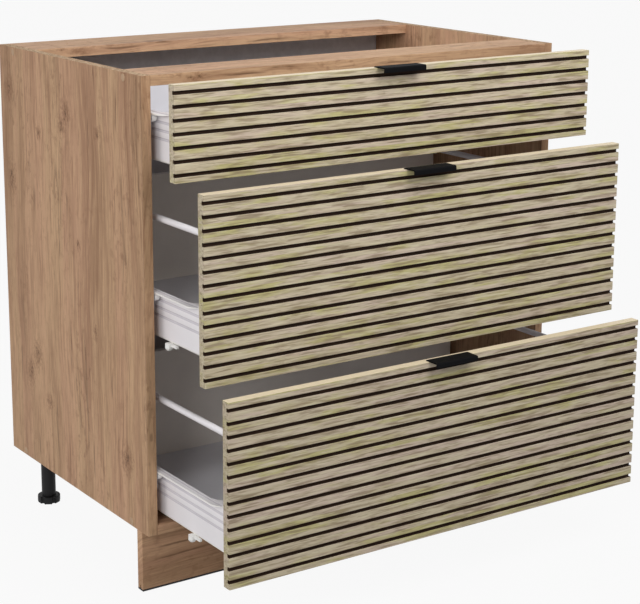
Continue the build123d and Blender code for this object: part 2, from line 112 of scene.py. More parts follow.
class CabinetSizes(bpy.types.PropertyGroup):
    """Sizes of the finish that the frame doesn't hold."""

    board_edge: length("Rounding of the edges of the foiled boards", 0.5)
    worktop_hole: length("Radius of the worktop screws' holes in the rails", 2.5)
    hole_inset: length("From a rail's end to its hole", 84)
    slat_pitch: length("Height of one slat with its groove", 20)
    groove_width: length("Height of one groove", 5.6)
    groove_depth: length("How deep a groove is cut", 5.5)
    slat_edge: length("Rounding of the long edges of a slat", 0.5)
    sheet: length("Thickness of the folded drawer sides", 1.2)
    sheet_bend: length("Radius of the folds in the steel", 1)
    foot_bend: length("Radius of the fold between wall and floor flange", 3)
    ridge_width: length("Raised strip of the flange beside the wall", 4)
    ridge_height: length("Height of the raised strip", 0.8)
    ridge_slope: length("Width of the slope up to the raised strip", 1.8)
    nose_length: length("Straight narrow stretch of the flange behind the front", 34)
    nose_curve: length("Stretch over which the flange widens", 30)
    corner_length: length("Straight stretch of the corner piece behind the front", 52)
    corner_curve: length("Stretch over which the corner piece runs out", 28)
    corner_reach: length("Width of the corner piece inside the wall", 13.5)
    corner_drop: length("Height of the corner piece and of the rear tab's gap", 4)
    bead_width: length("Height of a pressed line in a drawer side", 5)
    bead_depth: length("Depth of a pressed line in a drawer side", 1)
    first_bead: length("Top of a drawer side to its first pressed line", 15)
    bead_pitch: length("From one pressed line to the next", 12.5)
    floor_flange: length("Flange under the drawer bottom", 14)
    flange_lip: length("Height of the lip on the upper flange", 2.2)
    stud: length("Radius of the stud that carries a rear roller", 2.5)
    handle_sheet: length("Thickness of the handles", 2)
    handle_bend: length("Outer radius of the handles' folds", 2.6)
    handle_lip: length("Height of the handles' front lip", 8)
    tongue_inset: length("Handle end to the end of its tongue", 10)
    tongue_depth: length("Depth of the slot that holds a handle's tongue", 8)
    roller_bore: length("Radius of the rollers' bore", 2.6)
    lobes: IntProperty(description="Lobes round a levelling foot", default=6, min=3)
    lobe_notch: length("Radius of the notches between the lobes", 3)


class CabinetColours(bpy.types.PropertyGroup):
    """Colours of the finishes."""

    oak: colour("Main tone of the oak foil", 193, 156, 122)
    oak_rose: colour("Redder bands of the oak foil", 200, 158, 127)
    oak_light: colour("Light streaks of the oak foil", 220, 182, 144)
    oak_dark: colour("Dark streaks of the oak foil", 142, 104, 77)
    oak_knot: colour("Knots and cracks of the oak foil", 86, 60, 38)
    slat: colour("Main tone of the slats", 203, 189, 162)
    slat_olive: colour("Greener patches of the slats", 193, 186, 124)
    slat_pink: colour("Redder patches of the slats", 209, 189, 173)
    slat_dark: colour("Grain lines of the slats", 140, 122, 96)
    slat_light: colour("Light streaks of the slats", 222, 212, 182)
    # A dark stain together with painted shade in the grooves
    groove: colour("Stain and painted shade in the grooves", 46, 30, 20)
    groove_light: colour("Torn fibres in the grooves", 74, 52, 38)
    # Painted highlight: the upward faces along the top of each front made lighter, as lit from above
    front_edge: colour("Painted highlight on the upper faces of the drawer fronts", 228, 212, 182)
    hardboard: colour("Grey back panel", 226, 224, 227)
    drawer_board: colour("Bottoms of the drawers", 222, 221, 226)
    drawer_back: colour("Warmer boards at the back of the deep drawers", 248, 241, 234)
    board_core: colour("Bare edges of the boards", 206, 178, 146)
    white_coat: colour("Powder coat of the drawer sides", 249, 245, 248)
    # Painted shade: a darker grey laid in the pressed lines and on the flange's ridge slope
    bead_shade: colour("Painted shade in the pressed lines of the drawer sides", 219, 214, 220)
    # Painted highlight: a brighter white on the flange's lip and on the fold below the wall
    fold_highlight: colour("Painted highlight on the folds of the drawer sides", 253, 250, 246)
    black_coat: colour("Powder coat of the handles", 6, 6, 8)
    white_plastic: colour("Rollers, clips and sockets", 252, 251, 248)
    black_plastic: colour("Legs and feet", 17, 17, 19)
    rubber: colour("Seal under the plinth", 34, 32, 32)
    cap: colour("Covers of the connector screws", 184, 151, 118)
    zinc: colour("Screws", 196, 196, 190)


class CabinetStage(bpy.types.PropertyGroup):
    """Light and camera."""

    world: amount("Strength of the even light", 0.34)
    key_lamp: amount("Power of the lamp at the left, in watts", 34)
    front_lamp: amount("Power of the lamp above the front, in watts", 29)
    side_lamp: amount("Power of the lamp beside the cabinet, in watts", 26)
    lens: amount("Focal length in millimetres", 95.96)


# ---- shader nodes
class Value:
    """A shader socket: each Python operator adds the Math node that it stands for."""

    def __init__(self, desk, socket):
        self.desk, self.socket = desk, socket

    def math(self, operation, *values):
        return self.desk.add("ShaderNodeMath", {"operation": operation}, dict(enumerate(values)))

    def __add__(self, other):
        return self.math("ADD", self, other)

    def __sub__(self, other):
        return self.math("SUBTRACT", self, other)

    def __mul__(self, other):
        return self.math("MULTIPLY", self, other)

    def __truediv__(self, other):
        return self.math("DIVIDE", self, other)

    def __pow__(self, other):
        return self.math("POWER", self, other)

    def __abs__(self):
        return self.math("ABSOLUTE", self)


class Desk:
    """One material and the nodes on it."""

    def __init__(self, name, roughness=0.5, specular=0.5):
        self.material = bpy.data.materials.new(name)
        self.material.use_nodes = True
        self.nodes = self.material.node_tree.nodes
        self.links = self.material.node_tree.links
        self.shader = next(n for n in self.nodes if n.type == "BSDF_PRINCIPLED")
        self.shader.inputs["Roughness"].default_value = roughness
        self.shader.inputs["Specular IOR Level"].default_value = specular
        self.place = self.add("ShaderNodeTexCoord", output="Object")
        apart = self.add("ShaderNodeSeparateXYZ", inputs={0: self.place}).socket.node
        self.axes = [Value(self, axis) for axis in apart.outputs]

    def add(self, kind, settings=None, inputs=None, output=0):
        """A node of that kind, its settings made before its sockets are filled."""
        node = self.nodes.new(kind)
        for key, value in (settings or {}).items():
            setattr(node, key, value)
        for key, value in (inputs or {}).items():
            if isinstance(value, Value):
                self.links.new(value.socket, node.inputs[key])
            else:
                node.inputs[key].default_value = value
        return Value(self, node.outputs[output])

    def feed(self, **inputs):
        """Links values to the shader, or sets constants on it; _ stands for a space."""
        for key, value in inputs.items():
            socket = self.shader.inputs[key.replace("_", " ")]
            if isinstance(value, Value):
                self.links.new(value.socket, socket)
            else:
                socket.default_value = value
        return self.material

    def vector(self, x, y, z):
        return self.add("ShaderNodeCombineXYZ", inputs={0: x, 1: y, 2: z})

    def noise(self, vector, scale=1.0, detail=2.0, roughness=0.5, distortion=0.0):
        """Noise from 0 to 1, around a half."""
        return self.add("ShaderNodeTexNoise", inputs={
            "Vector": vector, "Scale": scale, "Detail": detail, "Roughness": roughness,
            "Distortion": distortion})

    def ramp(self, value, low, high):
        """0 below low, 1 above high, smooth between."""
        return self.add("ShaderNodeMapRange", {"interpolation_type": "SMOOTHSTEP"},
                        {0: value, 1: low, 2: high, 3: 0.0, 4: 1.0})

    def mix(self, factor, first, second, blend="MIX"):
        """A colour between two, or one blended over the other."""
        def four(c):
            return c if isinstance(c, Value) else (*c, 1.0)
        return self.add("ShaderNodeMix", {"data_type": "RGBA", "blend_type": blend},
                        {0: factor, 6: four(first), 7: four(second)}, output=2)

    def layers(self, tint, *rows):
        """Lays colours over a tint: noise, its low and high end, amount, colour."""
        for noise, low, high, much, over in rows:
            tint = self.mix(self.ramp(noise, low, high) * much, tint, over)
        return tint

    def shaded(self, tint, shade):
        """A tint made darker, or lighter with a shade above 1."""
        return self.mix(1.0, tint, (shade, shade, shade), blend="MULTIPLY")

    def bump(self, height, distance, strength=0.5):
        return self.add("ShaderNodeBump", inputs={"Height": height, "Distance": distance,
                                                  "Strength": strength})


# ---- finishes
def oak(name, along, knots=(), cracks=(), front=None, seed=0.0, shade=1.0):
    """Foil with an oak grain along one axis.

    Knots are (across, along, half width, half length) and cracks (across, low end, high end).
    front is the place along Y of a board's front face, where a dark line is painted as shade along the
    front corner.
    """
    tints = bpy.context.scene.cabinet_colours
    dark, light, knot = tints.oak_dark, tints.oak_light, tints.oak_knot
    desk = Desk(name, roughness=0.6, specular=0.2)
    run = desk.axes[along]
    other, across = [desk.axes[n] for n in range(3) if n != along]

    def clump(spread, stretch, detail=1.0, roughness=0.5):
        return desk.noise(desk.vector(across * spread + seed, other * spread, run * stretch),
                          detail=detail, roughness=roughness)

    def grain(spread, offset, stretch, detail=2.0, roughness=0.5):
        return desk.noise(desk.vector(line * spread, seed + offset, run * stretch),
                          detail=detail, roughness=roughness)

    sway, ripple = clump(3, 2.4) - 0.5, clump(16, 10) - 0.5
    line = across + other * 0.6 + sway * 0.05 + ripple * 0.006
    near = None
    for place, height, width, stretch in knots:
        aside = across - place
        distance = ((aside / width) ** 2.0 + ((run - height) / stretch) ** 2.0) ** 0.5
        line = line - aside * desk.ramp(distance, 2.4, 0.0) * 0.6
        near = distance if near is None else near.math("MINIMUM", near, distance)
    wide, bands, browns = grain(13, 13, 1.4, 1.0), grain(26, 0, 1.1), grain(40, 11, 2.8, 3.0, 0.6)
    clouds, busy = grain(12, 4, 3.6, 3.0, 0.6), desk.ramp(grain(11, 9, 4), 0.4, 0.62)
    streaks, hairs = grain(150, 8, 7, 3.0, 0.65), grain(320, 5, 10, 2.0, 0.6)
    fibres, flecks = grain(620, 2, 30, 3.0, 0.6), grain(240, 6, 36, 1.0)
    fault = abs(grain(46, 3, 2.6, 1.0) - 0.5)
    tint = desk.layers(
        tints.oak,
        (bands, 0.4, 0.6, 1.0, tints.oak_rose),
        (wide, 0.46, 0.68, 0.45, dark),
        (wide, 0.5, 0.3, 0.3, light),
        (browns, 0.52, 0.72, 0.5, dark),
        (browns, 0.46, 0.28, 0.4, light),
        (streaks, 0.5, 0.7, busy * 0.45 + 0.15, dark),
        (streaks, 0.46, 0.3, busy * 0.4 + 0.1, light),
        (hairs, 0.54, 0.7, 0.5, dark),
        (hairs, 0.44, 0.28, 0.5, light),
        (fibres, 0.5, 0.76, 0.5, dark),
        (clump(80, 50, 3.0, 0.65), 0.5, 0.7, desk.ramp(clouds, 0.45, 0.62) * 0.4 + 0.2, dark),
        (flecks, 0.64, 0.78, desk.ramp(clouds, 0.4, 0.6) * 0.4, knot),
        (fault, 0.04, 0.01, desk.ramp(clouds, 0.54, 0.64) * 0.35, knot))
    if near is not None:
        loose = near + (clump(190, 120, 3.0, 0.7) - 0.5) * 4.5
        tint = desk.layers(tint, (loose, 1.5, 0.4, 0.55, dark), (loose, 0.4, -0.3, 0.8, knot))
    for place, low, high in cracks:
        long = high - low
        ends = desk.ramp(run, low, low + long * 0.3) * desk.ramp(run, high, high - long * 0.4)
        tint = desk.layers(tint, (abs(across + ripple * 0.012 - place), 2.6 * MM, 0.4 * MM,
                                  ends * desk.ramp(flecks, 0.2, 0.5) * 0.62, knot))
    # Painted shade: a dark line just behind a board's front face, along its corner
    if front is not None:
        corner_shade = abs(desk.axes[1] - (front + 1.2 * MM))
        tint = desk.layers(tint, (corner_shade, 0.9 * MM, 0.3 * MM, 0.55, knot))
    return desk.feed(Base_Color=desk.shaded(tint, shade), Roughness=fibres * 0.2 + 0.48,
                     Normal=desk.bump(fibres * 0.7 + flecks * 0.3, 0.12 * MM))


def slatted_oak(name, low, seed, shade):
    """Pale oak foil along X, each slat with a tone of its own."""
    tints = bpy.context.scene.cabinet_colours
    dark, light = tints.slat_dark, tints.slat_light
    pitch = bpy.context.scene.cabinet_sizes.slat_pitch
    desk = Desk(name, roughness=0.55, specular=0.25)
    x, y, z = desk.axes
    number = ((z - low) / pitch).math("FLOOR", (z - low) / pitch + 0.5)
    slip = desk.add("ShaderNodeTexWhiteNoise", {"noise_dimensions": "1D"}, {"W": number + seed})
    slip = slip * 0.16 - 0.08
    lane = number * 3.7 + seed
    up = z + (desk.noise(desk.vector(x * 5, y * 5, z * 8 + lane), detail=1.0) - 0.5) * 0.006

    def grain(spread, lanes, deep, stretch, **looks):
        return desk.noise(desk.vector(x * spread + lane * lanes, y * deep, up * stretch), **looks)

    patches = grain(9, 5, 20, 34, detail=3.0, roughness=0.65)
    warmth = grain(6, -7, 15, 50, roughness=0.55)
    fibres = grain(30, 1, 300, 560, detail=3.0, roughness=0.6)
    lines = grain(18, 2, 160, 210, roughness=0.6)
    pores = grain(60, 1, 500, 900, detail=1.0)
    flecks = grain(30, -1, 90, 120, distortion=0.6)
    tint = desk.layers(
        tints.slat,
        (patches + slip, 0.46, 0.64, 0.8, tints.slat_olive),
        (warmth - slip, 0.48, 0.68, 0.85, tints.slat_pink),
        (lines, 0.51, 0.66, 0.65, dark),
        (lines, 0.47, 0.32, 0.55, light),
        (fibres, 0.48, 0.72, 0.55, dark),
        (fibres, 0.46, 0.24, 0.5, light),
        (flecks, 0.6, 0.72, 0.3, dark),
        (pores, 0.7, 0.84, 0.5, dark))
    return desk.feed(Base_Color=desk.shaded(tint, shade), Roughness=fibres * 0.2 + 0.45,
                     Normal=desk.bump(fibres * 0.6 + pores * 0.4, 0.1 * MM))


def groove_stain_and_shade(name):
    """Dark stain with painted shade in the grooves, uneven where the cutter tore the fibres."""
    tints = bpy.context.scene.cabinet_colours
    desk = Desk(name, roughness=0.75, specular=0.2)
    x, y, z = desk.axes
    fibres = desk.noise(desk.vector(x * 30, y * 500, z * 500), detail=3.0, roughness=0.6)
    return desk.feed(Base_Color=desk.layers(tints.groove, (fibres, 0.4, 0.75, 0.6, tints.groove_light)),
                     Normal=desk.bump(fibres, 0.2 * MM))


def hardboard(name):
    """Grey lacquered hardboard with a faint mottle."""
    tints = bpy.context.scene.cabinet_colours
    desk = Desk(name, roughness=0.6, specular=0.35)
    mottle = desk.noise(desk.place, 55, detail=4.0, roughness=0.6)
    tint = desk.layers(tints.hardboard, (mottle, 0.3, 0.7, 0.14, (0.1, 0.1, 0.1)))
    return desk.feed(Base_Color=tint, Roughness=mottle * 0.2 + 0.48,
                     Normal=desk.bump(desk.noise(desk.place, 900), 0.05 * MM, 0.4))


def coated_board(name, tint, dust):
    """Coated board with a fine pearl grain."""
    desk = Desk(name, roughness=0.5, specular=0.4)
    mottle = desk.noise(desk.place, 40, detail=3.0)
    pearl = desk.noise(desk.place, 1400)
    tint = desk.layers(tint, (mottle, 0.3, 0.75, 0.08, dust), (pearl, 0.35, 0.75, 0.07, (0.4, 0.4, 0.42)))
    return desk.feed(Base_Color=tint, Roughness=pearl * 0.12 + 0.42,
                     Normal=desk.bump(pearl, 0.04 * MM, 0.4))


def board_core(name):
    """Bare chipboard: packed chips of many tones."""
    tints = bpy.context.scene.cabinet_colours
    desk = Desk(name, roughness=0.85, specular=0.2)
    large, small = [desk.add("ShaderNodeSeparateColor", inputs={0: desk.add(
        "ShaderNodeTexVoronoi", inputs={"Vector": desk.place, "Scale": scale}, output="Color")})
        for scale in (260.0, 700.0)]
    tint = desk.layers(tints.board_core, (large, 0.35, 1.0, 0.8, tints.oak_dark),
                       (small, 0.6, 1.0, 0.6, tints.oak_knot))
    return desk.feed(Base_Color=tint, Normal=desk.bump(small, 0.25 * MM))


def powder_coat(name, tint, roughness, scuff, specular=0.5):
    """Baked powder: a fine orange peel and faint scuffs."""
    desk = Desk(name, roughness=roughness, specular=specular)
    x, y, z = desk.axes
    peel = desk.noise(desk.place, 900)
    cloud = desk.noise(desk.place, 18, detail=3.0)
    rub = desk.noise(desk.vector(x * 300, y * 25, z * 300))
    tint = desk.layers(tint, (cloud, 0.35, 0.75, 0.1, scuff), (rub, 0.66, 0.8, 0.12, scuff))
    return desk.feed(Base_Color=tint, Roughness=peel * 0.1 + (roughness - 0.05) + cloud * 0.06,
                     Normal=desk.bump(peel, 0.03 * MM))


def moulded(name, tint, roughness, grain=1200.0, depth=0.04, specular=0.45):
    """Moulded plastic or rubber: fine eroded grain, tone drifting a little over the piece."""
    desk = Desk(name, roughness=roughness, specular=specular)
    eroded = desk.noise(desk.place, grain, detail=3.0)
    drift = desk.noise(desk.place, 60)
    tint = desk.layers(tint, (drift, 0.3, 0.8, 0.1, [0.6 * c for c in tint]),
                       (eroded, 0.55, 0.8, 0.1, [min(1, 1.5 * c + 0.01) for c in tint]))
    return desk.feed(Base_Color=tint, Roughness=eroded * 0.15 + (roughness - 0.06),
                     Normal=desk.bump(eroded, depth * MM))


def zinc_plate(name):
    """Zinc plated steel: bright, with a faint spangle."""
    tints = bpy.context.scene.cabinet_colours
    desk = Desk(name, roughness=0.35)
    spangle = desk.noise(desk.place, 700, detail=3.0)
    tint = desk.layers(tints.zinc, (spangle, 0.35, 0.75, 0.3, (0.32, 0.31, 0.28)))
    return desk.feed(Base_Color=tint, Metallic=1.0, Roughness=spangle * 0.25 + 0.22,
                     Normal=desk.bump(spangle, 0.02 * MM))


finishes = {}


def finish(name):
    """The material of that name, made when it is first asked for."""
    if name in finishes:
        return finishes[name]
    tints = bpy.context.scene.cabinet_colours
    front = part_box("side_panel_left")[0].y
    makers = {
        "left side oak": (oak, 2, PANEL_KNOTS, PANEL_CRACKS, front, 1.7),
        "right side oak": (oak, 2, (), (), front, 23.1),
        "rail oak": (oak, 0, RAIL_KNOTS, RAIL_CRACKS, None, 5.2),
        "bottom oak": (oak, 0, (), (), None, 41.0),
        "plinth oak": (oak, 0, PLINTH_KNOTS, PLINTH_CRACKS, None, 61.0, 1.06),
        "groove stain": (groove_stain_and_shade,),
        # painted highlight on the top faces of the fronts
        "front edge": (moulded, tints.front_edge, 0.5),
        "grey hardboard": (hardboard,),
        "light drawer board": (coated_board, tints.drawer_board, (0.5, 0.5, 0.52)),
        "warm drawer board": (coated_board, tints.drawer_back, (0.6, 0.56, 0.52)),
        "chipboard core": (board_core,),
        "white powder coat": (powder_coat, tints.white_coat, 0.38, (0.55, 0.54, 0.55)),
        # painted shade in the pressed lines and on the ridge slope
        "pressed lines": (powder_coat, tints.bead_shade, 0.5, (0.25, 0.24, 0.25), 0.3),
        # painted highlight on the lip and the lower fold
        "rubbed folds": (powder_coat, tints.fold_highlight, 0.32, (0.7, 0.7, 0.7)),
        "black powder coat": (powder_coat, tints.black_coat, 0.7, (0.008, 0.008, 0.01), 0.08),
        "white plastic": (moulded, tints.white_plastic, 0.4),
        "black plastic": (moulded, tints.black_plastic, 0.55, 1200.0, 0.04, 0.25),
        "black rubber": (moulded, tints.rubber, 0.75, 800.0, 0.08),
        "cap plastic": (moulded, tints.cap, 0.45),
        "zinc plated steel": (zinc_plate,),
    }
    maker, *looks = makers[name]
    finishes[name] = maker(name, *looks)
    return finishes[name]


# Knots of the foil: place across the grain, place along it, half width and half length
PANEL_KNOTS = (
    (0.131, 0.734, 0.013, 0.018),
    (0.147, 0.712, 0.012, 0.016),
    (0.234, 0.688, 0.008, 0.010),
    (0.023, 0.714, 0.010, 0.010),
    (0.097, 0.524, 0.008, 0.008),
    (0.343, 0.747, 0.014, 0.020),
    (0.344, 0.593, 0.014, 0.030),
    (0.290, 0.262, 0.012, 0.026),
    (0.262, 0.300, 0.014, 0.022),
    (0.220, 0.225, 0.012, 0.012),
    (0.043, 0.390, 0.008, 0.012),
    (-0.056, 0.205, 0.016, 0.020),
)
# Cracks: place across the grain, low end and high end
PANEL_CRACKS = (
    (0.052, 0.640, 0.805), (0.030, 0.780, 0.822), (-0.042, 0.720, 0.800), (0.191, 0.110, 0.270),
    (0.134, 0.290, 0.400), (0.057, 0.130, 0.220), (0.327, 0.230, 0.310), (0.266, 0.110, 0.165),
    (-0.010, 0.290, 0.345), (0.165, 0.480, 0.560), (-0.110, 0.630, 0.690),
)
RAIL_KNOTS = ((0.812, -0.305, 0.005, 0.014), (0.817, -0.335, 0.003, 0.008),
              (0.790, -0.330, 0.004, 0.012))
RAIL_CRACKS = ((0.812, -0.270, -0.170), (0.818, -0.180, -0.120), (0.809, 0.020, 0.130))
PLINTH_KNOTS = ((0.04, -0.22, 0.006, 0.03),)
PLINTH_CRACKS = ((0.052, -0.400, -0.250), (0.070, -0.380, -0.290))


# ---- modelling
def deselect():
    if bpy.context.object and bpy.context.object.mode != "OBJECT":
        bpy.ops.object.mode_set(mode="OBJECT")
    bpy.ops.object.select_all(action="DESELECT")


def settle(piece, name):
    """Names a new primitive and puts its place into its mesh."""
    piece.name = piece.data.name = name
    bpy.ops.object.transform_apply(location=True, rotation=True, scale=True)
    return piece


def block(name, low, high):
    """A box between two corners."""
    low, high = Vector(low), Vector(high)
    deselect()
    bpy.ops.mesh.primitive_cube_add(size=1, location=(low + high) / 2, scale=high - low)
    return settle(bpy.context.object, name)


def rod(name, start, end, radius, sides=32):
    """A round bar between two points."""
    start, end = Vector(start), Vector(end)
    deselect()
    turn = (end - start).to_track_quat("Z", "Y").to_euler()
    bpy.ops.mesh.primitive_cylinder_add(vertices=sides, radius=radius, depth=(end - start).length,
                                        location=(start + end) / 2, rotation=turn)
    return settle(bpy.context.object, name)


def only(piece):
    """Makes piece the only selected and the active object."""
    deselect()
    piece.select_set(True)
    bpy.context.view_layer.objects.active = piece


def modify(piece, kind, **settings):
    """Adds a modifier and applies it."""
    only(piece)
    modifier = piece.modifiers.new(kind.lower(), kind)
    for key, value in settings.items():
        setattr(modifier, key, value)
    bpy.ops.object.modifier_apply(modifier=modifier.name)


def join(pieces):
    """One object of several; the first one keeps its name."""
    deselect()
    for piece in pieces:
        piece.select_set(True)
    bpy.context.view_layer.objects.active = pieces[0]
    bpy.ops.object.join()
    return pieces[0]


def cut(piece, cutters):
    """Takes the cutters out of a piece."""
    cutter = join(cutters)
    modify(piece, "BOOLEAN", object=cutter, operation="DIFFERENCE", solver="EXACT")
    bpy.data.objects.remove(cutter)


def edges_off(piece, width, segments=2, angle=30):
    """Rounds every sharp edge of a piece and shades it smooth."""
    modify(piece, "BEVEL", width=width, segments=segments, limit_method="ANGLE",
           angle_limit=radians(angle), use_clamp_overlap=True)
    only(piece)
    bpy.ops.object.shade_smooth_by_angle(angle=radians(50))
    modify(piece, "WEIGHTED_NORMAL", keep_sharp=True)


def pick(piece, chosen=lambda element: True, mode="FACE"):
    """Enters edit mode with only the faces, edges or vertices for which chosen is true."""
    only(piece)
    bpy.ops.object.mode_set(mode="EDIT")
    bpy.ops.mesh.select_mode(type=mode)
    bpy.ops.mesh.select_all(action="DESELECT")
    mesh = bmesh.from_edit_mesh(piece.data)
    for element in {"FACE": mesh.faces, "EDGE": mesh.edges, "VERT": mesh.verts}[mode]:
        element.select = chosen(element)
    mesh.select_flush_mode()
    bmesh.update_edit_mesh(piece.data)


def leave():
    bpy.ops.object.mode_set(mode="OBJECT")


def mid(face):
    """The middle of a face."""
    return face.calc_center_median()


def round_edges(piece, chosen, radius, segments=3):
    """Rounds the edges for which chosen is true."""
    pick(piece, chosen, "EDGE")
    bpy.ops.mesh.bevel(offset=radius, segments=segments, affect="EDGES")
    leave()


def slice_across(piece, start, end, rows):
    """Adds rows of vertices across a piece between two places along Y."""
    for row in range(rows):
        pick(piece)
        bpy.ops.mesh.bisect(plane_co=(0, start + (end - start) * row / CURVE_ROWS, 0), plane_no=Y)
        leave()


def warp(piece, move):
    """Calls move on the place of every vertex of a piece."""
    only(piece)
    bpy.ops.object.mode_set(mode="EDIT")
    mesh = bmesh.from_edit_mesh(piece.data)
    for vert in mesh.verts:
        move(vert.co)
    bmesh.update_edit_mesh(piece.data)
    leave()


def eased(place, start, end):
    """0 before start, 1 after end, and half a cosine wave between."""
    along = min(1.0, max(0.0, (place - start) / (end - start)))
    return 0.5 - 0.5 * cos(pi * along)


def fold(name, corner, edge, steps):
    """A sheet that begins at one straight edge and goes on strip by strip."""
    corner, edge, first = Vector(corner), Vector(edge), Vector(steps[0])
    deselect()
    bpy.ops.mesh.primitive_plane_add(size=1)
    sheet = bpy.context.object
    lay = Matrix.Identity(4)
    middle = corner + (edge + first) / 2
    for column, vector in enumerate((edge, first, edge.cross(first).normalized(), middle)):
        lay.col[column][:3] = vector
    sheet.matrix_world = lay
    settle(sheet, name)
    end = corner + first
    for step in steps[1:]:
        pick(sheet, lambda e: all((v.co - end).cross(edge).length < 1e-7 for v in e.verts), "EDGE")
        bpy.ops.mesh.extrude_region_move(TRANSFORM_OT_translate={"value": step})
        leave()
        end = end + Vector(step)
    return sheet


def bend(sheet, radius, segments=3):
    """Rounds the folds of a sheet that turn by more than 60 degrees."""
    round_edges(sheet, lambda e: len(e.link_faces) == 2 and e.calc_face_angle() > radians(60),
                radius, segments)


def thicken(sheet, thickness, offset):
    """Gives a sheet its thickness."""
    modify(sheet, "SOLIDIFY", thickness=thickness, offset=offset, use_even_offset=True)


def copy_of(node, name):
    """A merged copy of a frame node, with its flat faces whole."""
    piece = frame["nodes"][node].copy()
    piece.data = frame["nodes"][node].data.copy()
    piece.parent = None
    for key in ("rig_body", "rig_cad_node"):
        if key in piece:
            del piece[key]
    bpy.context.scene.collection.objects.link(piece)
    piece.name = piece.data.name = name
    piece.data.materials.clear()
    only(piece)
    bpy.ops.object.mode_set(mode="EDIT")
    bpy.ops.mesh.select_all(action="SELECT")
    bpy.ops.mesh.remove_doubles(threshold=1e-6)
    bpy.ops.mesh.dissolve_limited(angle_limit=radians(1))
    leave()
    return piece


def islands(node):
    """The boxes of the separate solids of a frame node."""
    mesh = bmesh.new()
    mesh.from_mesh(frame["nodes"][node].data)
    bmesh.ops.remove_doubles(mesh, verts=mesh.verts, dist=1e-6)
    left, boxes = set(mesh.verts), []
    while left:
        queue, group = [left.pop()], []
        while queue:
            vert = queue.pop()
            group.append(vert.co.copy())
            for edge in vert.link_edges:
                other = edge.other_vert(vert)
                if other in left:
                    left.remove(other)
                    queue.append(other)
        boxes.append((Vector(min(c[n] for c in group) for n in range(3)),
                      Vector(max(c[n] for c in group) for n in range(3))))
    mesh.free()
    return sorted(boxes, key=lambda b: tuple(round(c, 5) for c in b[0]))


def dress(piece, node, material, others=()):
    """Gives a piece its finish and its body, and hides the frame node that it stands for."""
    body = frame["nodes"][node]["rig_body"]
    piece.data.materials.clear()
    for entry in (material, *others):
        piece.data.materials.append(finish(entry) if isinstance(entry, str) else entry)
    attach(piece, body)
    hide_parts(node)
    return piece


def rounded_copy(node, shape, radius, material, segments=2):
    """A frame node's own solids as a piece, with rounded edges."""
    piece = copy_of(node, f"{node}_{shape}")
    edges_off(piece, radius, segments)
    dress(piece, node, material)


def paint(piece, number, chosen):
    """Gives the faces for which chosen is true the material of that number."""
    pick(piece, chosen)
    piece.active_material_index = number
    bpy.ops.object.material_slot_assign()
    leave()


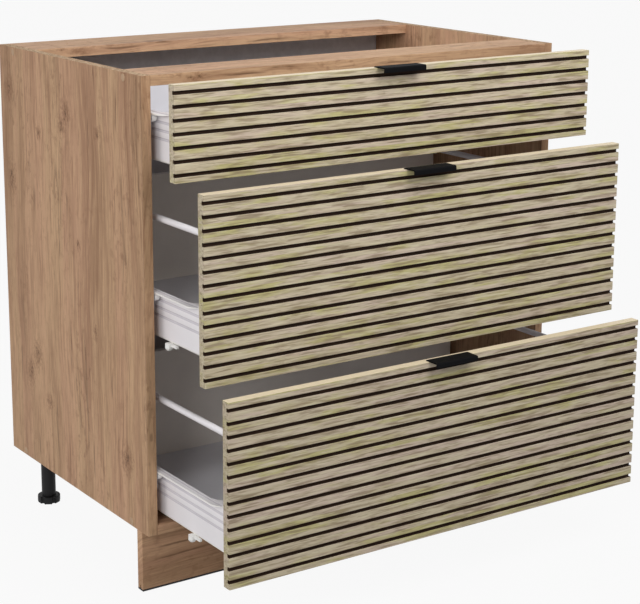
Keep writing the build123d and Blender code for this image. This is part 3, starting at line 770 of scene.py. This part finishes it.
# ---- pieces
class CABINET_OT_boards(bpy.types.Operator):
    """Model the boards of the carcass and the plinth with its seal"""

    bl_idname = "cabinet.boards"
    bl_label = "Carcass boards"

    def execute(self, context):
        sizes = context.scene.cabinet_sizes
        self.sides(sizes)
        self.level_boards(sizes)
        panel = block("back_panel_board", *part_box("back_panel"))
        edges_off(panel, 0.3 * MM)
        dress(panel, "back_panel", "grey hardboard")
        self.plinth(sizes)
        return {"FINISHED"}

    def sides(self, sizes):
        """The side panels with their groove for the back and the bores of the connector screws."""
        back_low, back_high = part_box("back_panel")
        for side, sign in SIDES:
            node = f"side_panel_{side}"
            low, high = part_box(node)
            panel = block(f"{node}_board", low, high)
            inner, outer = (high.x, low.x) if sign < 0 else (low.x, high.x)
            entry = back_low.x if sign < 0 else back_high.x
            near, deep = inner - sign * MM, entry + sign * SLOT_REST
            cut(panel, [block("back_slot", (min(near, deep), back_low.y - PLAY, low.z - MM),
                              (max(near, deep), back_high.y + PLAY, high.z + MM))])
            for head_low, head_high in islands("connector_screws"):
                if (head_low.x + head_high.x) * sign > 0:
                    y, z = (head_low.y + head_high.y) / 2, (head_low.z + head_high.z) / 2
                    head = (head_high.z - head_low.z) / 2
                    for start, end, radius in ((outer + sign * MM, outer - sign * 3.05 * MM, head),
                                               (outer - sign * 3 * MM, near, head * 0.7)):
                        cut(panel, [rod("bore", (start, y, z), (end, y, z), radius + PLAY / 2)])
            edges_off(panel, sizes.board_edge)
            dress(panel, node, f"{side} side oak", ["chipboard core"])
            paint(panel, 1, lambda f: f.normal.z > 0.9 and mid(f).z > high.z - HAIR
                  or f.normal.y > 0.9 and mid(f).y > high.y - HAIR)

    def level_boards(self, sizes):
        """The bottom and the two upper rails."""
        back_low, back_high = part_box("back_panel")
        for node, material in (("bottom_panel", "bottom oak"), ("top_rail_front", "rail oak"),
                               ("top_rail_rear", "rail oak")):
            low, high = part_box(node)
            board = block(f"{node}_board", low, high)
            slots = {"bottom_panel": (back_low.z - SLOT_REST, high.z + MM),
                     "top_rail_rear": (low.z - MM, back_high.z + SLOT_REST)}
            if node in slots:
                bottom, top = slots[node]
                cut(board, [block("back_slot", (low.x - MM, back_low.y - PLAY, bottom),
                                  (high.x + MM, back_high.y + PLAY, top))])
            if node != "bottom_panel":
                y = (low.y + high.y) / 2
                for _, sign in SIDES:
                    x = sign * (high.x - sizes.hole_inset)
                    cut(board, [rod("worktop_hole", (x, y, low.z - MM), (x, y, high.z + MM),
                                    sizes.worktop_hole)])
            edges_off(board, sizes.board_edge)
            dress(board, node, material)

    def plinth(self, sizes):
        """The plinth, and the seal pressed into a slot in its lower edge."""
        low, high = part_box("plinth")
        seal_low, seal_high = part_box("plinth_seal")
        plinth = block("plinth_board", low, high)
        middle, half = (low.y + high.y) / 2, 1.5 * MM
        cut(plinth, [block("seal_slot", (low.x - MM, middle - half, low.z - MM),
                           (high.x + MM, middle + half, seal_high.z + SLOT_REST))])
        edges_off(plinth, sizes.board_edge)
        dress(plinth, "plinth", "plinth oak")
        strip = low.z - seal_low.z
        seal = block("plinth_seal_strip", seal_low, (seal_high.x, seal_high.y, seal_low.z + strip))
        pick(seal, lambda f: f.normal.z > 0.5)
        bpy.ops.mesh.inset(thickness=(seal_high.y - seal_low.y) / 2 - 1.4 * MM)
        rise = seal_high.z - seal_low.z - strip
        bpy.ops.mesh.extrude_region_move(TRANSFORM_OT_translate={"value": (0, 0, rise)})
        leave()
        pick(seal, lambda f: f.normal.z < -0.5 and mid(f).z < seal_low.z + HAIR)
        bpy.ops.mesh.inset(thickness=4 * MM)
        bpy.ops.transform.translate(value=(0, 0, 1.2 * MM))
        leave()
        edges_off(seal, 0.3 * MM)
        dress(seal, "plinth_seal", "black rubber")


class CABINET_OT_fronts(bpy.types.Operator):
    """Model the slatted drawer fronts"""

    bl_idname = "cabinet.fronts"
    bl_label = "Drawer fronts"

    def execute(self, context):
        sizes = context.scene.cabinet_sizes
        for number, drawer in enumerate(DRAWERS):
            node = f"front_{drawer}"
            low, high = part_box(node)
            board = block(f"{node}_slats", low, high)
            height = high.z - low.z
            count = int(height / sizes.slat_pitch + 1e-6)
            first = low.z + (height - sizes.slat_pitch * (count - 1)) / 2
            half = sizes.groove_width / 2
            cutter = block("groove_cutter", (low.x - MM, low.y - MM, first - half),
                           (high.x + MM, low.y + sizes.groove_depth, first + half))
            modify(cutter, "ARRAY", count=count, use_relative_offset=False, use_constant_offset=True,
                   constant_offset_displace=(0, 0, sizes.slat_pitch))
            cut(board, [cutter])
            grip_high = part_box(f"handle_{drawer}")[1]
            reach = grip_high.x - sizes.tongue_inset + PLAY
            slot = (grip_high.y - sizes.handle_sheet - PLAY, high.z - sizes.tongue_depth - PLAY)
            cut(board, [block("tongue_slot", (-reach, *slot), (reach, grip_high.y + PLAY, high.z + MM))])
            edges_off(board, sizes.slat_edge)
            # Lower fronts are made darker (shade 1, 0.94, 0.88): painted shade for the light that falls
            # from above
            foil = slatted_oak(f"slats of the {drawer} front", first, seed=7.3 * (number + 1),
                               shade=1 - 0.06 * number)
            dress(board, node, foil, ["groove stain", "front edge"])
            skin, floor = low.y + 0.6 * MM, low.y + sizes.groove_depth + 2 * HAIR

            def grooved(face):
                centre = mid(face)
                return (skin < centre.y < floor and abs(face.normal.x) < 0.5
                        and low.z + MM < centre.z < high.z - MM)

            # Dark stain with painted shade on the walls and floors of the grooves
            paint(board, 1, grooved)
            # Painted highlight on the upward faces along the top of the front
            paint(board, 2, lambda f: f.normal.z > 0.5
                  and mid(f).z > high.z - sizes.slat_edge)
        return {"FINISHED"}


class CABINET_OT_handles(bpy.types.Operator):
    """Model the bent plates that serve as handles"""

    bl_idname = "cabinet.handles"
    bl_label = "Handles"

    def execute(self, context):
        sizes = context.scene.cabinet_sizes
        for drawer in DRAWERS:
            node = f"handle_{drawer}"
            low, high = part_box(node)
            front_low, front_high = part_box(f"front_{drawer}")
            plate = fold(f"{node}_plate", (low.x, high.y, low.z), (high.x - low.x, 0, 0),
                         [(0, 0, high.z - low.z), (0, low.y - high.y, 0), (0, 0, -sizes.handle_lip)])
            bend(plate, sizes.handle_bend, segments=4)
            thicken(plate, sizes.handle_sheet, 1)
            for _, sign in SIDES:
                far, near = sign * (high.x + MM), sign * (high.x - sizes.tongue_inset)
                cut(plate, [block("tongue_end", (min(far, near), front_low.y + MM, low.z - MM),
                                  (max(far, near), high.y + MM, front_high.z))])
            edges_off(plate, 0.35 * MM)
            dress(plate, node, "black powder coat")
        return {"FINISHED"}


class CABINET_OT_steel_sides(bpy.types.Operator):
    """Model the folded steel sides of the drawers"""

    bl_idname = "cabinet.steel_sides"
    bl_label = "Steel drawer sides"

    def execute(self, context):
        sizes = context.scene.cabinet_sizes
        for drawer in DRAWERS:
            for side, sign in SIDES:
                self.side(sizes, drawer, side, sign)
        return {"FINISHED"}

    def side(self, sizes, drawer, side, sign):
        """One side: lip, flange, wall with pressed lines, floor flange and rear tab."""
        node = f"drawer_side_{side}_{drawer}"
        low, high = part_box(node)
        rim = high.x if sign > 0 else low.x
        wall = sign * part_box(f"drawer_bottom_{drawer}")[1].x
        outer, foot = wall + sign * sizes.sheet, low.z + sizes.sheet
        bead, ridge, slope = sizes.bead_width, sizes.ridge_height, sizes.ridge_slope
        depths = [sizes.first_bead + sizes.bead_pitch * number for number in range(3)]
        sheet = self.sheet(sizes, node, low, high, rim, wall, sign, depths)
        round_edges(sheet, lambda e: all(abs(v.co.x - wall) + abs(v.co.z - foot) < TINY for v in e.verts),
                    sizes.foot_bend, 5)
        bend(sheet, sizes.sheet_bend)
        self.nose(sizes, sheet, low, high, rim, wall)
        thicken(sheet, sizes.sheet, 1 if sign < 0 else -1)
        edges_off(sheet, 0.15 * MM, segments=1, angle=60)
        pin = sum(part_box(f"rear_rollers_{drawer}"), Vector()) / 2
        stud = rod("stud", (outer - sign * MM, pin.y, pin.z), (rim - sign * 1.3 * MM, pin.y, pin.z),
                   sizes.stud)
        edges_off(stud, 0.5 * MM)
        ends = sorted((wall, wall - sign * sizes.floor_flange))
        tab = block("tab", (ends[0], high.y - sizes.sheet, foot),
                    (ends[1], high.y, high.z - sizes.corner_drop))
        edges_off(tab, 0.3 * MM)
        piece = join([sheet, stud, tab, self.corner(sizes, low, high, wall, sign)])
        dress(piece, node, "white powder coat", ["pressed lines", "rubbed folds"])

        # Faces that get a painted highlight: the flange's lip and the fold between wall and floor flange
        def highlit(face):
            centre, normal = mid(face), face.normal
            outward = (centre.x - wall) * sign
            lip = (outward > 2 * sizes.sheet and normal.x * sign > 0.2
                   and centre.z > high.z - ridge - sizes.flange_lip)
            fold_below = (outward > -sizes.foot_bend and centre.z < low.z + sizes.foot_bend + MM
                          and normal.z < 0.3 and normal.x * sign > 0.1)
            return lip or fold_below

        # Faces that get painted shade: the pressed lines in the wall and the slope up to the flange's
        # ridge
        def pressed(face):
            centre, normal = mid(face), face.normal
            below = high.z - centre.z + bead * 0.05
            line = (normal.x * sign > 0.3 and (centre.x - outer) * sign < -HAIR
                    and any(abs(below - depth) < bead * 0.4 for depth in depths))
            step = (0.2 < normal.z < 0.95 and centre.z > high.z - ridge - HAIR
                    and abs((centre.x - wall) * sign - sizes.ridge_width - slope / 2) < slope)
            return line or step

        paint(piece, 2, highlit)
        paint(piece, 1, pressed)

    def sheet(self, sizes, node, low, high, rim, wall, sign, depths):
        """The flat strips of a side, from the lip over flange and wall to the floor flange."""
        bead, ridge, slope = sizes.bead_width, sizes.ridge_height, sizes.ridge_slope
        dent = -sign * sizes.bead_depth
        steps = [(0, 0, sizes.flange_lip), (wall - rim + sign * (sizes.ridge_width + slope), 0, 0),
                 (-sign * slope, 0, ridge), (-sign * sizes.ridge_width, 0, 0)]
        done = 0
        for depth in depths:
            steps += [(0, 0, -(depth - bead / 2 - done)), (dent, 0, -bead * 0.3), (0, 0, -bead * 0.2),
                      (-dent, 0, -bead * 0.5)]
            done = depth + bead / 2
        rise = high.z - low.z
        steps += [(0, 0, -(rise - sizes.sheet - done)), (-sign * sizes.floor_flange, 0, 0)]
        return fold(f"{node}_sheet", (rim, low.y, high.z - ridge - sizes.flange_lip),
                    (0, high.y - low.y, 0), steps)

    def corner(self, sizes, low, high, inner, sign):
        """The rounded corner piece between the wall and the drawer front, flush with the flange."""
        reach, start = sizes.corner_reach, low.y + sizes.corner_length
        end = low.y + (sizes.corner_length + sizes.corner_curve)
        ends = sorted((inner, inner - sign * reach))
        piece = block("corner", (ends[0], low.y, high.z - sizes.corner_drop), (ends[1], end, high.z))
        slice_across(piece, start, end, CURVE_ROWS)

        def taper(place):
            if abs(place.x - inner) > reach / 2:
                place.x = inner - sign * (reach * (1 - eased(place.y, start, end)) + 0.4 * MM)

        warp(piece, taper)
        edges_off(piece, 0.4 * MM)
        return piece

    def nose(self, sizes, sheet, low, high, rim, wall):
        """Draws the flange in towards the wall near the front and lifts its lip there."""
        start = low.y + sizes.nose_length
        end = low.y + (sizes.nose_length + sizes.nose_curve)
        slice_across(sheet, start, end, CURVE_ROWS + 1)
        width, narrow, bound = rim - wall, 0.2, 0.05

        def draw_in(place):
            out, ease = (place.x - wall) / width, eased(place.y, start, end)
            if out > 0.9 and place.z < high.z:
                place.z = high.z - (high.z - place.z) * (0.35 + 0.65 * ease)
            if out > bound:
                limit = narrow + (1 - narrow) * ease
                place.x = wall + width * (bound + (out - bound) * (limit - bound) / (1 - bound))

        warp(sheet, draw_in)


class CABINET_OT_drawer_boards(bpy.types.Operator):
    """Model the bottom and back boards of the drawers"""

    bl_idname = "cabinet.drawer_boards"
    bl_label = "Drawer boards"

    def execute(self, context):
        for drawer in DRAWERS:
            back = "light drawer board" if drawer == "top" else "warm drawer board"
            for node, material in ((f"drawer_bottom_{drawer}", "light drawer board"),
                                   (f"drawer_back_{drawer}", back)):
                board = block(f"{node}_board", *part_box(node))
                edges_off(board, 0.4 * MM)
                dress(board, node, material, ["chipboard core"])
                if node.startswith("drawer_bottom"):
                    paint(board, 1, lambda f: abs(f.normal.y) > 0.9)
        return {"FINISHED"}


class CABINET_OT_drawer_fittings(bpy.types.Operator):
    """Model the brackets, clips, rods and rod sockets of the drawers"""

    bl_idname = "cabinet.drawer_fittings"
    bl_label = "Drawer fittings"

    def execute(self, context):
        for drawer in DRAWERS:
            rounded_copy(f"front_brackets_{drawer}", "plates", 0.4 * MM, "white powder coat")
            rounded_copy(f"bottom_clips_{drawer}", "knobs", 0.8 * MM, "white plastic", 3)
            if drawer != "top":
                self.rods(f"railings_{drawer}")
                rounded_copy(f"railing_sockets_{drawer}", "cups", 0.8 * MM, "white plastic", 3)
        return {"FINISHED"}

    def rods(self, node):
        """The two rods over the sides of a deep drawer."""
        bars = []
        for low, high in islands(node):
            x, z, radius = (low.x + high.x) / 2, (low.z + high.z) / 2, (high.x - low.x) / 2
            bar = rod(f"{node}_rods", (x, low.y, z), (x, high.y, z), radius, 40)
            edges_off(bar, 0.6 * MM)
            bars.append(bar)
        dress(join(bars), node, "white powder coat")


class CABINET_OT_runners(bpy.types.Operator):
    """Model the runners on the carcass sides and all the rollers"""

    bl_idname = "cabinet.runners"
    bl_label = "Runners and rollers"

    def execute(self, context):
        bore = context.scene.cabinet_sizes.roller_bore
        for drawer in DRAWERS:
            for side, _ in SIDES:
                rounded_copy(f"runner_{side}_{drawer}", "rail", 0.25 * MM, "white powder coat")
            for place in ("front", "rear"):
                node = f"{place}_rollers_{drawer}"
                wheels = [self.wheel(node, low, high, bore) for low, high in islands(node)]
                dress(join(wheels), node, "white plastic")
        return {"FINISHED"}

    def wheel(self, node, low, high, bore):
        """A roller with dished faces, a bore and rounded rims."""
        (_, y, z), radius = (low + high) / 2, (high.z - low.z) / 2
        wheel = rod(f"{node}_wheels", (low.x, y, z), (high.x, y, z), radius, 48)
        pick(wheel, lambda f: abs(f.normal.x) > 0.9)
        bpy.ops.mesh.inset(thickness=radius * 0.22)
        bpy.ops.mesh.inset(thickness=radius * 0.06, depth=-0.7 * MM)
        leave()
        cut(wheel, [rod("bore", (low.x - MM, y, z), (high.x + MM, y, z), bore, 32)])
        edges_off(wheel, 0.35 * MM)
        return wheel


class CABINET_OT_legs(bpy.types.Operator):
    """Model the legs, their lobed feet and the plinth clips"""

    bl_idname = "cabinet.legs"
    bl_label = "Legs and feet"

    def execute(self, context):
        rounded_copy("leg_sockets", "tubes", 0.6 * MM, "black plastic")
        rounded_copy("plinth_clips", "rings", 0.5 * MM, "black plastic")
        for place in ("front_left", "front_right", "rear_left", "rear_right"):
            self.foot(context.scene.cabinet_sizes, f"foot_{place}")
        return {"FINISHED"}

    def foot(self, sizes, node):
        """A lobed foot under its stem."""
        low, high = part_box(node)
        x, y, _ = (low + high) / 2
        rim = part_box("leg_sockets")[0].z
        collar = rod(f"{node}_lobed", (x, y, 0), (x, y, rim), FOOT_RADIUS, 96)
        notches = []
        for lobe in range(sizes.lobes):
            turn = 2 * pi * (lobe + 0.5) / sizes.lobes
            at = (x + FOOT_RADIUS * cos(turn), y + FOOT_RADIUS * sin(turn))
            notches.append(rod("notch", (*at, -MM), (*at, rim + MM), sizes.lobe_notch, 24))
        cut(collar, notches)
        round_edges(collar, lambda e: all(v.co.z > rim - HAIR for v in e.verts), 1.6 * MM)
        round_edges(collar, lambda e: all(v.co.z < HAIR for v in e.verts), 2.4 * MM)
        edges_off(collar, 0.3 * MM)
        stem = rod("stem", (x, y, rim - MM), (x, y, high.z), STEM_RADIUS, 40)
        edges_off(stem, 0.8 * MM)
        dress(join([collar, stem]), node, "black plastic")


class CABINET_OT_fasteners(bpy.types.Operator):
    """Model the screws and the covers of the connector screws"""

    bl_idname = "cabinet.fasteners"
    bl_label = "Screws and covers"

    def execute(self, context):
        rounded_copy("connector_screws", "turned", 0.3 * MM, "zinc plated steel")
        caps = [part for low, high in islands("cover_caps") for part in self.cap(low, high)]
        dress(join(caps), "cover_caps", "cap plastic")
        pattern = self.pattern()
        for node in ("carcass_screws", *(f"drawer_screws_{drawer}" for drawer in DRAWERS)):
            screws = join([self.placed(pattern, low, high) for low, high in islands(node)])
            screws.name = screws.data.name = f"{node}_cross_heads"
            dress(screws, node, "zinc plated steel")
        bpy.data.objects.remove(pattern)
        return {"FINISHED"}

    def cap(self, low, high):
        """A domed cover and the stub behind it."""
        centre, radius = (low + high) / 2, (high.z - low.z) / 2
        sign = 1 if centre.x > 0 else -1
        rim, tip = (high.x, low.x) if sign > 0 else (low.x, high.x)
        face = Vector((rim, centre.y, centre.z))
        cap = rod("cover_caps_domed", face, face - X * sign * 0.8 * MM, radius, 32)
        pick(cap, lambda f: f.normal.x * sign > 0.9)
        bpy.ops.mesh.inset(thickness=0.9 * MM)
        leave()
        pick(cap, lambda v: v.co.x * sign > rim * sign - TINY
             and (v.co - face).length > radius - 2 * HAIR, "VERT")
        bpy.ops.transform.translate(value=(-sign * 0.45 * MM, 0, 0))
        leave()
        edges_off(cap, 0.15 * MM, angle=20)
        stub = rod("stub", face - X * sign * 0.7 * MM, (tip, centre.y, centre.z), 1.8 * MM, 16)
        edges_off(stub, 0.2 * MM)
        return cap, stub

    def pattern(self):
        """A pan head screw at the origin: head below, shank up along Z."""
        head_height, head_radius, shank_radius = 1.5 * MM, 3.4 * MM, 1.75 * MM
        arm, half_arm, cross_depth = 1.9 * MM, 0.4 * MM, 1.0 * MM
        head = rod("screw_pattern", (0, 0, -head_height), (0, 0, 0), head_radius, 24)
        pick(head, lambda f: f.normal.z < -0.9)
        bpy.ops.mesh.inset(thickness=1.1 * MM)
        leave()
        pick(head, lambda v: v.co.z < HAIR - head_height and v.co.length > head_radius + 2 * HAIR, "VERT")
        bpy.ops.transform.translate(value=(0, 0, 0.7 * MM))
        leave()
        for long, wide in ((arm, half_arm), (half_arm, arm)):
            cut(head, [block("cross", (-long, -wide, -2 * MM), (long, wide, cross_depth - head_height))])
        edges_off(head, 0.12 * MM, segments=1)
        shank = rod("shank", (0, 0, -2 * HAIR), (0, 0, 11 * MM), shank_radius, 16)
        pick(shank, lambda f: f.normal.z > 0.9)
        bpy.ops.transform.resize(value=(0.4, 0.4, 1))
        leave()
        edges_off(shank, 0.15 * MM, segments=1)
        return join([head, shank])

    def placed(self, pattern, low, high):
        """A copy of the pattern in the place of one screw."""
        span, centre = high - low, (low + high) / 2
        axis = max(range(3), key=lambda n: span[n])
        way = (X if centre.x > 0 else -X, -Y, Z)[axis]
        head = centre - way * (span[axis] / 2 - 1.5 * MM)
        screw = pattern.copy()
        screw.data = pattern.data.copy()
        bpy.context.scene.collection.objects.link(screw)
        turn = way.to_track_quat("Z", "Y").to_matrix().to_4x4()
        screw.data.transform(Matrix.Translation(head) @ turn)
        return screw


# Lamps: name, place and size; they all face the lit spot
LAMPS = (("key_lamp", (-2.9, -2.3, 2.1), 1.2), ("front_lamp", (0.1, -1.5, 2.2), 1.4),
         ("side_lamp", (-3.6, 0.2, 1.6), 1.6))
LIT_SPOT = Vector((0, 0, 0.42))
# The camera of the photo, fitted to the corners of the cabinet
CAMERA_PLACE = (-1.5905, -2.3114, 1.1427)
CAMERA_PITCH, CAMERA_YAW = radians(12.826), radians(33.174)
CAMERA_SHIFT = (0.065, -0.1)


class CABINET_OT_stage(bpy.types.Operator):
    """Set up the floor, the lamps, the world and the camera"""

    bl_idname = "cabinet.stage"
    bl_label = "Stage"

    def execute(self, context):
        scene, props = context.scene, context.scene.cabinet_stage
        deselect()
        bpy.ops.mesh.primitive_plane_add(size=90)
        floor = bpy.context.object
        floor.name = "floor"
        floor.data.materials.append(self.floor_finish())
        self.world(scene, props)
        for name, place, size in LAMPS:
            deselect()
            bpy.ops.object.light_add(type="AREA", location=place)
            lamp = bpy.context.object
            lamp.name = name
            lamp.data.energy, lamp.data.size = getattr(props, name), size
            lamp.rotation_euler = (LIT_SPOT - Vector(place)).to_track_quat("-Z", "Y").to_euler()
        bpy.ops.object.camera_add(location=CAMERA_PLACE, rotation=(pi / 2 - CAMERA_PITCH, 0, -CAMERA_YAW))
        camera = bpy.context.object
        camera.data.lens, camera.data.sensor_width = props.lens, 36
        camera.data.shift_x, camera.data.shift_y = CAMERA_SHIFT
        scene.camera = camera
        scene.view_settings.view_transform = "Standard"
        return {"FINISHED"}

    def floor_finish(self):
        """A pale floor that looks white and still keeps the object's shadow."""
        desk = Desk("pale floor", roughness=0.7, specular=0.2)
        desk.feed(Base_Color=(0.4, 0.4, 0.4, 1.0))
        path = desk.nodes.new("ShaderNodeLightPath")
        seen = sum((Value(desk, path.outputs[f"Is {ray} Ray"]) for ray in ("Glossy", "Transmission")),
                   Value(desk, path.outputs["Is Camera Ray"]))
        glow = desk.add("ShaderNodeEmission", inputs={"Color": (1, 1, 1, 1), "Strength": 1.0})
        lit = Value(desk, desk.shader.outputs[0])
        both = desk.add("ShaderNodeMixShader", inputs={0: seen * 0.93, 1: lit, 2: glow})
        output = next(n for n in desk.nodes if n.type == "OUTPUT_MATERIAL")
        desk.links.new(both.socket, output.inputs["Surface"])
        return desk.material

    def world(self, scene, props):
        """Even light, and white where the camera or a reflection sees past the floor."""
        world = bpy.data.worlds.new("studio")
        world.use_nodes = True
        scene.world = world
        nodes, links = world.node_tree.nodes, world.node_tree.links
        background = next(n for n in nodes if n.type == "BACKGROUND")
        background.inputs["Color"].default_value = (1, 1, 1, 1)
        path = nodes.new("ShaderNodeLightPath")
        seen = path.outputs["Is Camera Ray"]
        for ray in ("Glossy", "Transmission"):
            either = nodes.new("ShaderNodeMath")
            either.operation = "MAXIMUM"
            links.new(seen, either.inputs[0])
            links.new(path.outputs[f"Is {ray} Ray"], either.inputs[1])
            seen = either.outputs[0]
        strength = nodes.new("ShaderNodeMapRange")
        strength.inputs["To Min"].default_value = props.world
        strength.inputs["To Max"].default_value = 1.0
        links.new(seen, strength.inputs["Value"])
        links.new(strength.outputs[0], background.inputs["Strength"])


class CABINET_PT_sidebar(bpy.types.Panel):
    """Sizes, colours and steps of the cabinet"""

    bl_idname = "CABINET_PT_sidebar"
    bl_label = "Base cabinet"
    bl_space_type = "VIEW_3D"
    bl_region_type = "UI"
    bl_category = "Cabinet"

    def draw(self, context):
        for name, _ in GROUPS:
            group, box = getattr(context.scene, name), self.layout.box()
            for key in group.bl_rna.properties.keys():
                if key not in ("rna_type", "name"):
                    box.prop(group, key, text=key.replace("_", " ").capitalize())
        for step in STEPS:
            self.layout.operator(step.bl_idname)


STEPS = (CABINET_OT_boards, CABINET_OT_fronts, CABINET_OT_handles, CABINET_OT_steel_sides,
         CABINET_OT_drawer_boards, CABINET_OT_drawer_fittings, CABINET_OT_runners, CABINET_OT_legs,
         CABINET_OT_fasteners, CABINET_OT_stage)
GROUPS = (("cabinet_sizes", CabinetSizes), ("cabinet_colours", CabinetColours),
          ("cabinet_stage", CabinetStage))


def register():
    for name, group in GROUPS:
        bpy.utils.register_class(group)
        setattr(bpy.types.Scene, name, PointerProperty(type=group))
    for made in (*STEPS, CABINET_PT_sidebar):
        bpy.utils.register_class(made)


def unregister():
    for made in (CABINET_PT_sidebar, *reversed(STEPS)):
        bpy.utils.unregister_class(made)
    for name, group in reversed(GROUPS):
        delattr(bpy.types.Scene, name)
        bpy.utils.unregister_class(group)


def main():
    register()
    bpy.ops.cabinet.boards()
    bpy.ops.cabinet.fronts()
    bpy.ops.cabinet.handles()
    bpy.ops.cabinet.steel_sides()
    bpy.ops.cabinet.drawer_boards()
    bpy.ops.cabinet.drawer_fittings()
    bpy.ops.cabinet.runners()
    bpy.ops.cabinet.legs()
    bpy.ops.cabinet.fasteners()
    bpy.ops.cabinet.stage()


if __name__ == "__main__":
    main()
